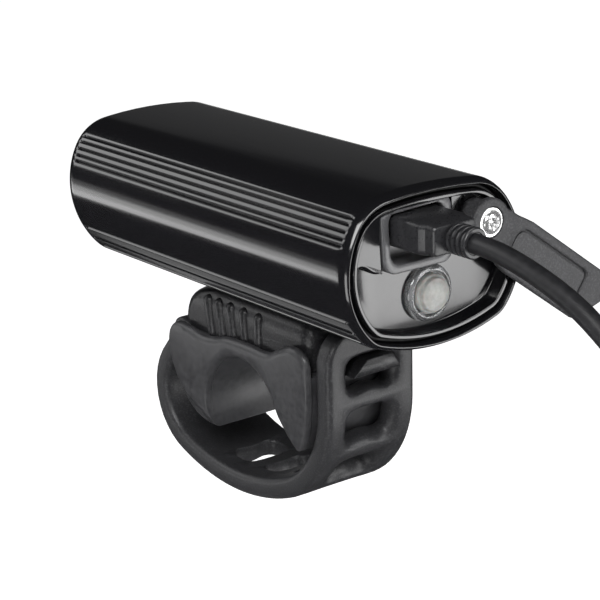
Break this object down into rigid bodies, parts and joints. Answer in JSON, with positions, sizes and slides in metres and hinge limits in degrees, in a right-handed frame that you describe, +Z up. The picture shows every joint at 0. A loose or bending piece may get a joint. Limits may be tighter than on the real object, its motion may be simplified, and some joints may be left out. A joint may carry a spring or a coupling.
{
  "type": "bike headlight",
  "caption": "Bike headlight: grooved extruded body on a swivel pedestal with a rubber handlebar strap, push button, swing-aside port cover and charging lead plugged in.",
  "frame": {"origin": "on the handlebar axis, midway across the saddle pad", "axes": "+X along the handlebar to the right seen from behind, +Y forward towards the front window, +Z up"},
  "size_m": [0.0714, 0.218, 0.1159],
  "materials": {
    "pedestal_plastic": "fine speckled texture",
    "pad_rubber": "smooth satin",
    "strap_rubber": "fine grain",
    "cover_rubber": "fine grain",
    "seal_rubber": "satin",
    "anodised_black": "gloss black anodised",
    "gloss_black": "gloss",
    "matte_black": "matte",
    "plug_plastic": "satin",
    "cable_jacket": "satin",
    "steel": "plated",
    "chrome": "bright",
    "clear": "clear",
    "milky": "milky translucent",
    "board": "solder mask",
    "white_board": "white solder mask",
    "emitter": "phosphor",
    "cell": "sleeved",
    "contact": "plated",
    "bare_aluminium": "machined"
  },
  "bodies": {
    "mount": {"mount_base": "pedestal_plastic", "saddle_pad": "pad_rubber", "strap_pin": "steel"},
    "strap": {"strap": "strap_rubber"},
    "light": {"light_foot": "pedestal_plastic", "pivot_washer": "steel", "pivot_screw": "steel", "foot_screw_front": "steel", "foot_screw_rear": "steel", "body_tube": "anodised_black", "rear_cap": "gloss_black", "rear_seal": "seal_rubber", "port_frame": "matte_black", "usb_receptacle": "steel", "main_board": "board", "tact_switch": "matte_black", "button_bezel": "clear", "cover_screw": "chrome", "cell_left": "cell", "cell_right": "cell", "battery_cradle": "matte_black", "bus_bar": "contact", "contact_board": "board", "heat_sink": "bare_aluminium", "led_board": "white_board", "led_left": "emitter", "led_right": "emitter", "optic_left": "clear", "optic_right": "clear", "lens_gasket": "seal_rubber", "front_lens": "clear", "front_bezel": "gloss_black"},
    "button": {"button_cap": "milky"},
    "port_cover": {"port_cover": "cover_rubber"},
    "plug": {"plug_body": "plug_plastic", "plug_shell": "steel", "strain_relief": "plug_plastic", "cable_lead": "cable_jacket", "cable_coil": "cable_jacket", "cable_tie": "plug_plastic", "far_plug_body": "plug_plastic", "far_plug_shell": "steel"}
  },
  "joints": [
    {"name": "light_swivel", "type": "hinge", "parent": "mount", "child": "light", "pos_m": [0, 0, 0.0223], "axis": [0, 0, 1], "range_deg": [-15, 15]},
    {"name": "button_press", "type": "slide", "parent": "light", "child": "button", "axis": [0, 1, 0], "range_m": [0, 0.0008], "stiffness_N_per_m": 400, "springref_m": -0.002},
    {"name": "cover_swing", "type": "hinge", "parent": "light", "child": "port_cover", "pos_m": [0.0118, -0.05, 0.0482], "axis": [0, -1, 0], "range_deg": [0, 130]},
    {"name": "plug_pull", "type": "slide", "parent": "light", "child": "plug", "axis": [0, -1, 0], "range_m": [0, 0.025]},
    {"name": "strap_open", "type": "hinge", "parent": "mount", "child": "strap", "pos_m": [0, 0.0238, 0.0127], "axis": [1, 0, 0], "range_deg": [0, 60], "deforming": ["strap"]}
  ]
}
